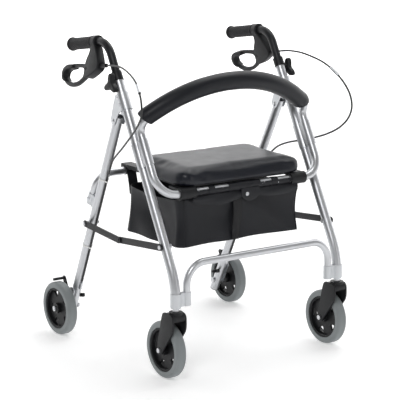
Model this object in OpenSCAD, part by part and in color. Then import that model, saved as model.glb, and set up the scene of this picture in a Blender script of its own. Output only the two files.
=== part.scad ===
// Four-wheeled folding rollator: aluminium tube frame, flip-up seat with a bag under it, bent backrest,
// height-adjustable brake handles, swivelling front casters and braked rear wheels.
// +Z is up, the rollator travels towards -Y, and X = 0 is its plane of symmetry.

/* [Frame] */
// Half the distance between the front leg axes
frame_half = 270; // [220:1:320]
// Outer diameter of the leg tubes
leg_d = 25.4; // [22:0.1:30]
// Wall of the leg tubes
leg_wall = 1.5; // [1:0.1:2.5]
// Backward lean of the front legs above their knee
leg_tilt = 28; // [24:1:31]
// Distance from the origin forward to the lower front leg axis
front_reach = 297; // [260:1:340]
// Height of the knee, where the leg axes cross
knee_z = 260; // [240:1:300]
// Inner bend radius measure of the knee, to the tube axis
knee_r = 200; // [120:1:220]
// Length of the sloping part of the front leg
slope_len = 573; // [520:1:640]
// Height of the front leg's lower end
leg_foot_z = 197; // [194:1:210]
// Outer diameter of the bent cross tubes
tube_d = 22.2; // [18:0.1:25]
// Wall of the bent cross tubes
tube_wall = 1.4; // [1:0.1:2.5]
// Outer diameter of the lower front bar
bar_d = 19; // [16:0.1:22]
// Distance between the two bores of each double clamp
clamp_pitch = 34; // [32:0.5:40]

/* [Rear legs] */
// Height of the folding pivot below the top end of the front leg
fold_drop = 113.93; // [90:0.01:150]
// How far the folding pivot lies behind the top end of the front leg
fold_behind = 1.993; // [0:0.001:8]
// Distance of the rear axle behind the origin
axle_back = 252; // [220:1:300]
// How far each rear leg leans in towards the middle, from the pivot down to the axle
rear_in = 14; // [0:1:30]
// Height of the rear cross tube
rear_tube_z = 490; // [478:1:496]
// Distance of the rear cross tube behind the origin
rear_tube_back = 85; // [80:1:95]

/* [Wheels] */
// Outer diameter of the tyres
wheel_d = 152; // [140:1:160]
// Width of the tyres
wheel_w = 30; // [24:1:34]
// Diameter where the tyre seats on the hub
hub_d = 118; // [100:1:124]
// Distance of the caster axle behind the caster's swivel axis
trail = 45; // [35:1:55]
// From the rear leg axis out to the middle of its wheel
rear_wheel_out = 42; // [38:1:60]
// Diameter of the axle bolts
axle_d = 8; // [6:0.5:10]

/* [Seat and bag] */
// From the front leg axis in to the side of the seat cushion
seat_side_gap = 67; // [62:1:110]
// Depth of the seat cushion
seat_depth = 254; // [220:1:262]
// Thickness of the seat cushion
cushion_h = 36; // [24:1:44]
// From the front leg axis in to the side of the bag
bag_side_gap = 65; // [60:1:110]
// Height of the bag
bag_h = 128; // [80:1:150]

/* [Backrest] */
// Outer diameter of the backrest pad
pad_d = 40; // [32:1:48]
// Radius of the backrest bow
bow_r = 420; // [380:1:480]
// Forward lean of the backrest bow
bow_tilt = 25.5; // [15:0.5:30]

/* [Handles] */
// Travel of the handle height adjustment
height_travel = 125; // [80:1:130]
// Outer diameter of the handle posts
post_d = 22.2; // [20:0.1:22.4]
// Outer diameter of the grips
grip_d = 33; // [30:1:36]
// Length of the grips
grip_len = 118; // [100:1:125]
// Outward lean of the brake housings about the grips
brake_lean = 14; // [0:1:20]

/* [Clearances] */
// Radial gap where one piece turns on or in another
run_gap = 0.1; // [0.05:0.01:0.2]
// Radial gap where a fixed sleeve or clamp holds a tube
hold_gap = 0.05; // [0.02:0.01:0.1]

/* [Hidden] */
$fn = 48;
eps = 0.01;
LEFT = 1;
RIGHT = -1;
ALUMINIUM = [0.80, 0.81, 0.83];
STEEL = [0.62, 0.64, 0.67];
BLACK = [0.07, 0.07, 0.08];
VINYL = [0.10, 0.10, 0.12];
GREY = [0.55, 0.57, 0.58];

axle_z = wheel_d / 2;
fold_z = knee_z + slope_len * cos(leg_tilt) - fold_drop;
fold_fwd = front_reach - slope_len * sin(leg_tilt) - fold_behind;
rear_half = frame_half - rear_in;
rear_wheel_half = rear_half + rear_wheel_out;
seat_half = frame_half - seat_side_gap;
bag_half = frame_half - bag_side_gap;
leg_r = leg_d / 2;
leg_bore_r = leg_r - leg_wall;
tube_r = tube_d / 2;
bar_r = bar_d / 2;
post_r = post_d / 2;

// Rear leg: its axis runs from the folding pivot to the rear axle
rear_dy = axle_back + fold_fwd;
rear_dz = fold_z - axle_z;
rear_dx = frame_half - rear_half;
rear_len = norm([rear_dx, rear_dy, rear_dz]);
rear_tilt = atan2(rear_dy, rear_dz);
rear_toe = asin(rear_dx / rear_len);
rear_tip = 32;
rear_head = 14;

// Point on the left rear leg's axis at a height
function rear_at(z) =
  let (t = (fold_z - z) / rear_dz) [frame_half - t * rear_dx, t * rear_dy - fold_fwd, z];

// Point on the left front leg's axis at a height above the knee
function front_at(z) = [frame_half, (z - knee_z) * tan(leg_tilt) - front_reach, z];

// Seat front tube and backrest, in the plane of the sleeves, measured along the leg from the knee
sleeve_low = 317;
sleeve_len = 69;
sleeve_mid = sleeve_low + sleeve_len / 2;
cross_u = 228;
cross_bend_r = 60;
bow_u = 412;
bow_shoulder_x = 35.139;
bow_half_angle = asin((frame_half - bow_shoulder_x) / bow_r);
elbow_r = 30;
neck_r = 28;
seat_axis_y = clamp_y(cross_u);
seat_axis_z = clamp_z(cross_u);
function clamp_y(u) = u * sin(leg_tilt) - clamp_pitch * cos(leg_tilt) - front_reach;
function clamp_z(u) = u * cos(leg_tilt) + clamp_pitch * sin(leg_tilt) + knee_z;

// Handle: the grip axis meets the leg axis at handle_u and falls 8 degrees towards the rear
handle_u = slope_len + 107;
grip_fall = 8;
grip_turn = 90 + grip_fall - leg_tilt;
post_bend_r = 60;
post_low = slope_len - 184;
grip_end = 185;
knob_u = slope_len - 16;
slot_w = 7;

// ---- frames of reference, all on the left side; sided() mirrors a piece to the other side

module sided(side) {
  mirror([side == RIGHT ? 1 : 0, 0, 0]) children();
}

module both() {
  for (side = [LEFT, RIGHT]) sided(side) children();
}

// Origin at the knee, +Z up along the sloping front leg, -Y square to it and forward
module on_leg() {
  translate([frame_half, -front_reach, knee_z]) rotate([-leg_tilt, 0, 0]) children();
}

// Origin at the folding pivot, +Z up along the rear leg
module on_rear_leg() {
  translate([frame_half, -fold_fwd, fold_z]) rotate([rear_tilt, 0, 0]) rotate([0, rear_toe, 0]) children();
}

// Origin where the grip axis meets the leg axis, +Y back along the grip
module on_grip() {
  translate([frame_half, handle_u * sin(leg_tilt) - front_reach, handle_u * cos(leg_tilt) + knee_z])
    rotate([-grip_fall, 0, 0]) children();
}

module on_brake() {
  on_grip() rotate([0, -brake_lean, 0]) children();
}

// Origin on the floor under the caster's swivel axis
module at_caster() {
  translate([frame_half, -front_reach, 0]) children();
}

// Origin on the seat's hinge axis, +Y back along the seat
module on_seat() {
  translate([0, seat_axis_y, seat_axis_z]) rotate([seat_pitch, 0, 0]) children();
}

// ---- building blocks

module ring(r, bore) {
  difference() {
    circle(r);
    circle(bore);
  }
}

module pipe(r, bore, length) {
  linear_extrude(length) ring(r, bore);
}

// Cylinder along +X
module x_rod(r, length) {
  rotate([0, 90, 0]) cylinder(r = r, h = length);
}

// Bent pipe in the local XZ plane: starts at the origin along +Z and turns towards -X
module elbow(r, bore, bend_r, angle) {
  translate([-bend_r, 0, 0]) rotate([90, 0, 0])
    rotate_extrude(angle = angle, $fn = 96) translate([bend_r, 0]) ring(r, bore);
}

// Moves the children to the end of such an elbow
module past_elbow(bend_r, angle) {
  translate([-bend_r, 0, 0]) rotate([0, -angle, 0]) translate([bend_r, 0, 0]) children();
}

// Flat plate: an outline in the YZ plane, given thickness along +X
module yz_plate(points, thickness) {
  rotate([90, 0, 90]) linear_extrude(thickness) polygon(points);
}

// Bar with round ends between two points of the YZ plane, along +X
module link_plate(a, b, width, thickness) {
  d = b - a;
  translate([0, a[0], a[1]]) rotate([atan2(d[1], d[0]), 0, 0]) rotate([90, 0, 90])
    linear_extrude(thickness) union() {
      circle(width / 2);
      translate([norm(d), 0]) circle(width / 2);
      translate([0, -width / 2]) square([norm(d), width]);
    }
}

// ---- front frame

module front_leg() {
  knee_t = knee_r * tan(leg_tilt / 2);
  brace_at = front_at(brace_front_z);
  color(ALUMINIUM) difference() {
    union() {
      translate([frame_half, -front_reach, leg_foot_z]) rotate([0, 0, -90])
        pipe(leg_r, leg_bore_r, knee_z - knee_t - leg_foot_z);
      translate([frame_half, -front_reach, knee_z - knee_t]) rotate([0, 0, -90]) {
        elbow(leg_r, leg_bore_r, knee_r, leg_tilt);
        past_elbow(knee_r, leg_tilt) pipe(leg_r, leg_bore_r, slope_len - knee_t);
      }
    }
    on_leg() translate([0, 0, knob_u]) x_rod(clamp_bolt_r + run_gap, leg_d);
    translate([brace_at[0] - leg_d, brace_at[1], brace_at[2]]) x_rod(brace_bolt_r + hold_gap, leg_d * 2);
  }
}

bar_cross_z = 309;
bar_bend_r = 56;
bar_half = frame_half - clamp_pitch;
clamp_low = 200;
clamp_h = 36;

module lower_front_bar() {
  color(ALUMINIUM) both() translate([bar_half, -front_reach, clamp_low]) {
    pipe(bar_r, bar_r - tube_wall, bar_cross_z - bar_bend_r - clamp_low);
    translate([0, 0, bar_cross_z - bar_bend_r - clamp_low]) {
      elbow(bar_r, bar_r - tube_wall, bar_bend_r, 90);
      past_elbow(bar_bend_r, 90) pipe(bar_r, bar_r - tube_wall, bar_half - bar_bend_r);
    }
  }
}

// Double clamp: two sleeves joined by a web, bores at the origin and at pitch along +X
module double_clamp(r_a, r_b, pitch, wall, h) {
  linear_extrude(h) difference() {
    union() {
      circle(r_a + wall);
      translate([pitch, 0]) circle(r_b + wall);
      translate([0, -min(r_a, r_b) * 0.62]) square([pitch, min(r_a, r_b) * 1.24]);
    }
    circle(r_a + hold_gap);
    translate([pitch, 0]) circle(r_b + hold_gap);
  }
}

module lower_clamps() {
  knee_low = knee_z - knee_r * tan(leg_tilt / 2);
  color(ALUMINIUM) both() difference() {
    translate([frame_half, -front_reach, clamp_low]) mirror([1, 0, 0])
      double_clamp(leg_r, bar_r, clamp_pitch, 1.8, clamp_h);
    translate([frame_half, knee_r - front_reach, knee_low]) rotate([0, 0, -90]) rotate([90, 0, 0])
      rotate_extrude(angle = leg_tilt, $fn = 96) translate([knee_r, 0]) circle(leg_r + hold_gap);
  }
}

module tube_sleeves() {
  color(ALUMINIUM) both() on_leg() translate([0, 0, sleeve_low]) rotate([0, 0, -90])
    double_clamp(leg_r, tube_r, clamp_pitch, 1.8, sleeve_len);
}

module seat_front_tube() {
  rise = sleeve_mid - cross_u - cross_bend_r;
  color(ALUMINIUM) both() on_leg() translate([0, -clamp_pitch, sleeve_mid]) mirror([0, 0, 1]) {
    pipe(tube_r, tube_r - tube_wall, rise);
    translate([0, 0, rise]) {
      elbow(tube_r, tube_r - tube_wall, cross_bend_r, 90);
      past_elbow(cross_bend_r, 90) pipe(tube_r, tube_r - tube_wall, frame_half - cross_bend_r);
    }
  }
}

// Backrest: legs along the sleeves, a neck bend, then two elbows and a bow in one leaning plane
neck_turn = leg_tilt + bow_tilt;
neck_t = neck_r * tan(neck_turn / 2);
elbow_turn = 90 - bow_half_angle;
elbow_t = elbow_r * tan(elbow_turn / 2);
bow_end_x = bow_r * sin(bow_half_angle);
shoulder = (frame_half - bow_end_x) / cos(bow_half_angle) - elbow_t;

// One half of the backrest above its neck
module backrest_upper(r, bore) {
  elbow(r, bore, elbow_r, elbow_turn);
  past_elbow(elbow_r, elbow_turn) {
    pipe(r, bore, shoulder);
    translate([0, 0, shoulder]) elbow(r, bore, bow_r, bow_half_angle);
  }
}

module on_bow() {
  on_leg() translate([0, -clamp_pitch, bow_u]) rotate([neck_turn, 0, 0]) translate([0, 0, neck_t])
    children();
}

module backrest_tube() {
  color(ALUMINIUM) both() {
    on_leg() translate([0, -clamp_pitch, sleeve_mid]) {
      pipe(tube_r, tube_r - tube_wall, bow_u - neck_t - sleeve_mid);
      translate([0, 0, bow_u - neck_t - sleeve_mid]) rotate([0, 0, 90])
        elbow(tube_r, tube_r - tube_wall, neck_r, neck_turn);
    }
    on_bow() backrest_upper(tube_r, tube_r - tube_wall);
  }
}

module backrest_pad() {
  color(VINYL) both() on_bow() backrest_upper(pad_d / 2, tube_r + run_gap);
}

// Fold brackets: a channel folded round each front leg, its two cheeks reaching back to the pivot
bracket_t = 2.5;
bracket_gap = leg_r + 0.6;
pivot_r = 4;
pivot_back = (front_reach - fold_fwd) * cos(leg_tilt) - (fold_z - knee_z) * sin(leg_tilt);
pivot_u = (front_reach - fold_fwd) * sin(leg_tilt) + (fold_z - knee_z) * cos(leg_tilt);
bracket_low = slope_len - 91;
bracket_high = slope_len - 43;
rivet_u = [slope_len - 73, slope_len - 55];

module fold_brackets() {
  outline = [[0, bracket_low], [0, bracket_high], [12, bracket_high], [30, bracket_high - 16],
    [pivot_back + 9, pivot_u + 8], [pivot_back + 9, pivot_u - 7], [pivot_back, pivot_u - 12],
    [18, bracket_low]];
  color(STEEL) both() on_leg() difference() {
    union() {
      for (x = [-bracket_gap - bracket_t, bracket_gap]) translate([x, 0, 0]) yz_plate(outline, bracket_t);
      translate([0, 0, bracket_low]) intersection() {
        pipe(bracket_gap + bracket_t, bracket_gap, bracket_high - bracket_low);
        translate([-leg_d, -leg_d * 2, 0]) cube([leg_d * 2, leg_d * 2, bracket_high]);
      }
    }
    translate([-leg_d, pivot_back, pivot_u]) x_rod(pivot_r + run_gap, leg_d * 2);
  }
}

// Rivets that hold the brackets to the legs, the two pivot rivets and the front brace bolts
module fold_rivets() {
  brace_at = front_at(brace_front_z);
  color(STEEL) both() {
    on_leg() {
      translate([-bracket_gap - bracket_t, pivot_back, pivot_u]) x_rod(pivot_r, 2 * (bracket_gap + bracket_t));
      for (s = [-1, 1]) translate([s * (bracket_gap + bracket_t), pivot_back, pivot_u]) rotate([0, s * 90, 0])
        cylinder(r1 = 7, r2 = 4, h = 2.5);
      for (u = rivet_u, s = [-1, 1]) translate([s * (bracket_gap + bracket_t), 4, u])
        rotate([0, s * 90, 0]) cylinder(r1 = 4.5, r2 = 3, h = 1.8);
    }
    translate([brace_at[0] - leg_r - 5, brace_at[1], brace_at[2]]) {
      x_rod(brace_bolt_r, leg_d + 5 + brace_t + 2 * brace_gap + 3);
      x_rod(5.5, 4.5);
      translate([leg_d + 5 + brace_t + 2 * brace_gap, 0, 0]) x_rod(5.5, 3);
    }
  }
}

collar_h = 17;
collar_skirt = 8;

module leg_collars() {
  color(BLACK) both() on_leg() translate([0, 0, slope_len - collar_skirt]) {
    pipe(leg_r + 1.6, leg_r + hold_gap, collar_skirt);
    translate([0, 0, collar_skirt]) pipe(leg_r + 1.6, post_r + run_gap, collar_h);
  }
}

// ---- rear frame

module rear_leg() {
  color(ALUMINIUM) difference() {
    on_rear_leg() translate([0, 0, -rear_len - rear_tip]) pipe(leg_r, leg_bore_r, rear_len + rear_tip + rear_head);
    for (hole = [[fold_z, pivot_r + run_gap], [brace_rear_z, brace_bolt_r + hold_gap],
        [brake_pivot_z, brake_pin_r + run_gap], [axle_z, axle_d / 2 + hold_gap]])
      translate(rear_at(hole[0]) - [leg_d, 0, 0]) x_rod(hole[1], leg_d * 2);
  }
}

// The rear cross tube lies in a plane parallel to the rear legs, a clamp's pitch behind them
rear_bend_r = 45;
rear_arm_x = rear_at(430)[0];
rear_arm_len = 100;
rear_pitch = (rear_tube_back - rear_at(rear_tube_z)[1]) * cos(rear_tilt);

module behind_rear_leg() {
  translate([0, rear_tube_back, rear_tube_z]) rotate([rear_tilt, 0, 0]) children();
}

module rear_cross_tube() {
  rise = rear_arm_len - rear_bend_r;
  color(ALUMINIUM) both() behind_rear_leg() translate([rear_arm_x, 0, -rear_arm_len]) {
    pipe(tube_r, tube_r - tube_wall, rise);
    translate([0, 0, rise]) {
      elbow(tube_r, tube_r - tube_wall, rear_bend_r, 90);
      past_elbow(rear_bend_r, 90) pipe(tube_r, tube_r - tube_wall, rear_arm_x - rear_bend_r);
    }
  }
}

// Clamp blocks that join the cross tube's arms to the rear legs, each with a screw
module rear_clamps() {
  block_h = 34;
  low = -rear_arm_len + 2;
  wall = 2;
  color(STEEL) both() {
    difference() {
      behind_rear_leg() translate([rear_arm_x, 0, low]) {
        cylinder(r = tube_r + wall, h = block_h);
        translate([-9, -rear_pitch, 0]) cube([18, rear_pitch, block_h]);
      }
      behind_rear_leg() translate([rear_arm_x, 0, low - 1]) cylinder(r = tube_r + hold_gap, h = block_h + 2);
      on_rear_leg() translate([0, 0, -rear_len]) cylinder(r = leg_r + hold_gap, h = rear_len);
    }
    behind_rear_leg() translate([rear_arm_x + tube_r + wall - 0.5, 0, low + block_h / 2]) x_rod(4.5, 3);
  }
}

// Plates on the outer sides of the rear leg feet, drilled for the axle and the brake pivot
foot_plate_t = 2.5;
foot_plate_gap = 0.3;
foot_plate_x = rear_at(axle_z + 64)[0] + leg_r / cos(rear_toe) + foot_plate_gap;

module rear_foot_plates() {
  top = rear_at(brake_pivot_z + 18);
  low = rear_at(axle_z);
  color(STEEL) both() difference() {
    translate([foot_plate_x, 0, 0]) link_plate([top[1], top[2]], [low[1], low[2]], 24, foot_plate_t);
    for (hole = [[brake_pivot_z, brake_pin_r + run_gap], [axle_z, axle_d / 2 + hold_gap]])
      translate([foot_plate_x - 1, rear_at(hole[0])[1], hole[0]]) x_rod(hole[1], foot_plate_t + 2);
  }
}

module rear_axles() {
  inner = rear_half - leg_r - 6;
  spacer = foot_plate_x + foot_plate_t + 0.1;
  color(STEEL) both() translate([0, axle_back, axle_z]) {
    translate([inner, 0, 0]) x_rod(axle_d / 2, rear_wheel_half + wheel_w / 2 + 7 - inner);
    translate([inner, 0, 0]) x_rod(7.5, 5);
    translate([spacer, 0, 0]) x_rod(7.5, rear_wheel_half - wheel_w / 2 - hub_gap - spacer);
    translate([rear_wheel_half + wheel_w / 2 + hub_gap, 0, 0]) x_rod(7.5, 5);
  }
}

module leg_caps() {
  color(BLACK) both() on_rear_leg() translate([0, 0, -rear_len - rear_tip]) {
    translate([0, 0, 0.1]) cylinder(r = leg_bore_r - 0.1, h = 10);
    mirror([0, 0, 1]) intersection() {
      cylinder(r = leg_r, h = 8);
      translate([0, 0, -9]) sphere(r = leg_r + 3.5);
    }
  }
}

// ---- side braces: two links on each side, folding downwards at the middle

brace_front_z = 351;
brace_rear_z = 346;
brace_mid = [-52, 333];
brace_t = 3;
brace_w = 18;
brace_gap = 0.4;
brace_bolt_r = 3;
brace_front_x = frame_half + leg_r + brace_gap;
brace_rear_x = brace_front_x + brace_t + brace_gap;

module brace_front() {
  at = front_at(brace_front_z);
  color(BLACK) {
    difference() {
      translate([brace_front_x, 0, 0]) link_plate([at[1], at[2]], brace_mid, brace_w, brace_t);
      translate([brace_front_x - 1, at[1], at[2]]) x_rod(brace_bolt_r + run_gap, brace_t + 2);
    }
    translate([brace_front_x, brace_mid[0], brace_mid[1]]) mirror([1, 0, 0]) rotate([0, 90, 0])
      cylinder(r1 = 5, r2 = 3, h = 2);
  }
}

module brace_rear() {
  at = rear_at(brace_rear_z);
  color(BLACK) {
    difference() {
      translate([brace_rear_x, 0, 0]) link_plate(brace_mid, [at[1], at[2]], brace_w, brace_t);
      translate([brace_rear_x - 1, at[1], at[2]]) x_rod(brace_bolt_r + run_gap, brace_t + 2);
    }
    translate([brace_rear_x + brace_t, brace_mid[0], brace_mid[1]]) rotate([0, 90, 0])
      cylinder(r1 = 5, r2 = 3, h = 2);
  }
}

module brace_bolts_rear() {
  at = rear_at(brace_rear_z);
  leg_face = at[0] + leg_r;
  color(STEEL) both() translate([0, at[1], at[2]]) {
    translate([at[0] - leg_r - 4, 0, 0]) x_rod(brace_bolt_r, brace_rear_x + brace_t + 4 - at[0] + leg_r + 4);
    translate([at[0] - leg_r - 4, 0, 0]) x_rod(5.5, 3);
    translate([leg_face + 0.6, 0, 0]) x_rod(7, brace_rear_x - brace_gap - leg_face - 0.6);
    translate([brace_rear_x + brace_t + brace_gap, 0, 0]) x_rod(5.5, 3.6);
  }
}

// ---- seat

seat_pitch = 2;
seat_front = -8;
board_z = tube_r + 3.4;
board_t = 8;
board_inset = 9;
seat_corner_r = 46;
hinge_x = seat_half - 45;
hinge_len = 50;
hinge_wall = 5.5;

module rounded_slab(half_w, y0, y1, r, h) {
  linear_extrude(h) {
    translate([-half_w, y0 + r]) square([2 * half_w, y1 - y0 - 2 * r]);
    translate([-half_w + r, y0]) square([2 * (half_w - r), y1 - y0]);
    for (x = [-half_w + r, half_w - r], y = [y0 + r, y1 - r]) translate([x, y]) circle(r);
  }
}

module seat_board() {
  color(BLACK) on_seat() translate([0, 0, board_z])
    rounded_slab(seat_half - board_inset, seat_front + board_inset, seat_front + seat_depth - board_inset,
      seat_corner_r - board_inset, board_t);
}

module seat_cushion() {
  color(VINYL) on_seat() translate([0, 0, board_z + board_t + 0.1])
    rounded_slab(seat_half, seat_front, seat_front + seat_depth, seat_corner_r, cushion_h - 4);
}

// Knuckles that turn on the seat front tube, screwed under the board
module seat_hinges() {
  color(BLACK) both() on_seat() translate([hinge_x, 0, 0]) difference() {
    union() {
      x_rod(tube_r + hinge_wall, hinge_len);
      translate([0, -tube_r, 0]) cube([hinge_len, tube_r + 46, board_z - 0.05]);
    }
    translate([-1, 0, 0]) x_rod(tube_r + run_gap, hinge_len + 2);
    translate([-1, tube_r + hinge_wall, -1]) cube([hinge_len + 2, 60, board_z - 5]);
    translate([-1, 0.5, board_z - 0.05]) cube([hinge_len + 2, 60, 10]);
  }
}

// Hooks at the back of the board that rest on the rear cross tube
rest_x = [seat_half - 53, seat_half - 21];

module seat_rests() {
  dy = rear_tube_back - seat_axis_y;
  dz = rear_tube_z - seat_axis_z;
  ty = dy * cos(seat_pitch) + dz * sin(seat_pitch);
  tz = dz * cos(seat_pitch) - dy * sin(seat_pitch);
  back = seat_front + seat_depth - board_inset + 0.2;
  top = board_z + board_t;
  over = tube_r + 0.3;
  outline = [[back - 36, board_z - 4], [back + 10, board_z - 4], [ty - 13, tz + 8.5], [ty - 7, tz + over],
    [ty + over + 0.4, tz + over], [ty + over + 0.9, tz + 3], [ty + over + 4.4, tz + 3],
    [ty + over + 5, tz + over + 3.4], [ty + over + 3, tz + over + 7], [ty - 8, tz + over + 7],
    [back + 10, top - 0.2], [back, top - 0.2], [back, board_z - 0.1], [back - 36, board_z - 0.1]];
  color(BLACK) both() on_seat() translate([rest_x[0], 0, 0]) yz_plate(outline, rest_x[1] - rest_x[0]);
}

// ---- bag: an open-topped fabric box hung by loops from the two cross tubes

bag_wall = 2.5;
bag_top = 458;
bag_front = -222;
bag_back = 62;
loop_x = [-96, 0, 96];
loop_w = 34;
loop_t = 1.8;
strap_x = bag_half - 19;
strap_w = 20;

module bag() {
  r = 30;
  ring_r = tube_r + 0.5;
  strap_in = ring_r * 0.707 + 0.4;
  color(VINYL) {
    difference() {
      translate([0, 0, bag_top - bag_h]) rounded_slab(bag_half, bag_front, bag_back, r, bag_h);
      translate([0, 0, bag_top - bag_h + bag_wall])
        rounded_slab(bag_half - bag_wall, bag_front + bag_wall, bag_back - bag_wall, r - bag_wall, bag_h);
    }
    for (x = loop_x) translate([x - loop_w / 2, 0, 0]) {
      difference() {
        translate([0, seat_axis_y, seat_axis_z]) x_rod(ring_r + loop_t, loop_w);
        translate([-1, seat_axis_y, seat_axis_z]) x_rod(ring_r, loop_w + 2);
      }
      translate([0, bag_front, bag_top - eps])
        cube([loop_w, bag_wall, seat_axis_z - ring_r - bag_top - 0.2 + eps]);
    }
    both() translate([strap_x, 0, 0]) {
      difference() {
        translate([0, rear_tube_back, rear_tube_z]) x_rod(ring_r + loop_t, strap_w);
        translate([-1, rear_tube_back, rear_tube_z]) x_rod(ring_r, strap_w + 2);
      }
      yz_plate([[bag_back - bag_wall, bag_top - 30], [bag_back, bag_top - 30],
        [rear_tube_back - strap_in, rear_tube_z - strap_in],
        [rear_tube_back - strap_in - 1.2, rear_tube_z - strap_in + 1.4]], strap_w);
    }
  }
}

// ---- handles and brakes

clamp_bolt_r = 3;

module handle_post() {
  reach = post_bend_r * tan(grip_turn / 2);
  bore = post_r - tube_wall;
  straight = handle_u - reach;
  color(BLACK) on_leg() rotate([0, 0, -90]) {
    difference() {
      translate([0, 0, post_low]) pipe(post_r, bore, straight - post_low);
      translate([-slot_w / 2, bore / 2, knob_u - height_travel - slot_w])
        cube([slot_w, post_r, height_travel + 2 * slot_w]);
    }
    translate([0, 0, straight]) {
      elbow(post_r, bore, post_bend_r, grip_turn);
      past_elbow(post_bend_r, grip_turn) pipe(post_r, bore, grip_end - 8 - reach);
    }
  }
}

module grip() {
  r = grip_d / 2;
  color(BLACK) on_grip() translate([0, grip_end - grip_len, 0]) rotate([-90, 0, 0]) rotate_extrude()
    polygon([[post_r + hold_gap, 0], [r + 1.5, 0], [r + 1.5, 5], [r, 8], [r, grip_len - 12], [r + 2.5, grip_len - 5],
      [r + 2.5, grip_len - 2], [r + 1.5, grip_len], [0, grip_len], [0, grip_len - 7.6], [post_r + hold_gap, grip_len - 7.6]]);
}

housing_half = 13;
lever_half = 5.8;
lever_slot = 6.2;
lever_pivot = [76, -74];
lever_pin_r = 3;

nose_end = [-12, -67];

module brake_housing() {
  collar = [43, grip_end - grip_len - 0.6];
  shell = [[43, -13], [collar[1], -13], [collar[1], -20], [82, -38], [93, -56], [95, -84], [76, -103],
    [47, -94], [13, -76], [13, -58],
    [24, -34]];
  color(BLACK) on_brake() {
    difference() {
      union() {
        translate([0, collar[0], 0]) rotate([-90, 0, 0]) cylinder(r = 17.5, h = collar[1] - collar[0]);
        translate([-housing_half, 0, 0]) yz_plate(shell, 2 * housing_half);
        translate([0, nose_end[0], nose_end[1]]) rotate([-90, 0, 0]) cylinder(r = 5.5, h = 30);
      }
      translate([0, collar[0] - 30, 0]) rotate([-90, 0, 0]) cylinder(r = post_r + hold_gap, h = 90);
      translate([-lever_slot, 60, -120]) cube([2 * lever_slot, 60, 72]);
    }
    translate([-housing_half, lever_pivot[0], lever_pivot[1]]) x_rod(lever_pin_r, 2 * housing_half);
  }
}

module brake_lever() {
  outer = [[66, -64], [90, -60], [140, -57], [182, -60], [199, -67], [206, -80], [200, -97], [184, -111],
    [158, -120], [122, -117], [66, -88]];
  inner = [[106, -72], [140, -66], [172, -69], [184, -75], [187, -84], [179, -96], [155, -108], [124, -106],
    [106, -94]];
  color(BLACK) on_brake() difference() {
    union() {
      translate([-lever_half, 0, 0]) yz_plate(outer, 2 * lever_half);
      translate([-12, 0, 0]) rotate([90, 0, 90]) linear_extrude(24) intersection() {
        polygon(outer);
        translate([140, -130]) square([90, 90]);
      }
    }
    translate([-13, 0, 0]) yz_plate(inner, 26);
    translate([-13, lever_pivot[0], lever_pivot[1]]) x_rod(lever_pin_r + run_gap, 26);
  }
}

// Tri-lobe knobs on the outer sides of the front legs
knob_x = leg_r + 5;
knob_t = 15;

module knob() {
  color(BLACK) on_leg() translate([0, 0, knob_u]) rotate([90, 0, 90]) difference() {
    union() {
      translate([0, 0, knob_x]) linear_extrude(knob_t) {
        circle(15);
        for (a = [0, 120, 240]) rotate(a) {
          translate([20, 0]) circle(8.5);
          polygon([[0, -13], [20, -8.5], [20, 8.5], [0, 13]]);
        }
      }
      translate([0, 0, leg_r + 0.4]) cylinder(r = 8, h = knob_x - leg_r);
    }
    translate([0, 0, leg_r]) cylinder(r = clamp_bolt_r + hold_gap, h = knob_x - leg_r + knob_t - 4);
  }
}

module clamp_bolt() {
  tip = post_r - 0.9;
  color(STEEL) on_leg() translate([tip, 0, knob_u]) x_rod(clamp_bolt_r, knob_x + knob_t - 4.4 - tip);
}

// Brake cables: from the housing, forward and outward in a bow, then down the front of the rear leg
cable_r = 2.5;
cable_sides = 8;
// Points of each cable's free bow, after the two that leave the housing's nose
cable_bows = [[[297, -90, 802], [304, -132, 794],
  [313, -172, 781], [325, -206, 759], [337, -232, 730], [347, -248, 697], [351, -252, 662], [348, -240, 629],
  [339, -214, 601], [326, -178, 580], [311, -136, 564], [298, -92, 552], [288, -50, 541], [280, -14, 526],
  [275, 12, 506]],
  [[297, -90, 802], [305, -134, 794],
  [316, -180, 781], [330, -220, 763], [341, -248, 742], [345, -258, 718], [341, -249, 696], [332, -224, 676],
  [319, -182, 648], [307, -132, 616], [295, -80, 584], [285, -38, 560], [278, -10, 542], [275, 6, 522],
  [273, 18, 503]]];
cable_leg_z = [495, 470, 430, 380, 330, 280, 230, 190, 167];
cable_off = leg_r + cable_r + 0.5;

function cable_at(z) = rear_at(z) + cable_off * [0, -cos(rear_tilt), -sin(rear_tilt)];
function unit(v) = v / norm(v);
function blend(a, b, c, d, t) = 0.5 * ((2 * b) + (c - a) * t + (2 * a - 5 * b + 4 * c - d) * t * t
  + (3 * b - a - 3 * c + d) * t * t * t);
function smooth_path(p, n) = [for (i = [0 : len(p) - 2], k = [0 : n - 1])
  blend(p[max(i - 1, 0)], p[i], p[i + 1], p[min(i + 2, len(p) - 1)], k / n), p[len(p) - 1]];
function heading(p, i) = unit(p[min(i + 1, len(p) - 1)] - p[max(i - 1, 0)]);
function ring_at(c, t, r, sides) = let (u = unit(cross(t, [1, 0, 0])), v = cross(t, u))
  [for (k = [0 : sides - 1]) c + r * (cos(360 * k / sides) * u + sin(360 * k / sides) * v)];

module sweep(p, r, sides) {
  rings = [for (i = [0 : len(p) - 1]) each ring_at(p[i], heading(p, i), r, sides)];
  last = (len(p) - 1) * sides;
  sides_faces = [for (i = [0 : len(p) - 2], k = [0 : sides - 1]) let (m = (k + 1) % sides)
    each [[i * sides + k, (i + 1) * sides + m, i * sides + m], [i * sides + k, (i + 1) * sides + k, (i + 1) * sides + m]]];
  polyhedron(points = rings, faces = concat([[for (k = [0 : sides - 1]) k]],
    [[for (k = [0 : sides - 1]) last + sides - 1 - k]], sides_faces));
}

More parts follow.
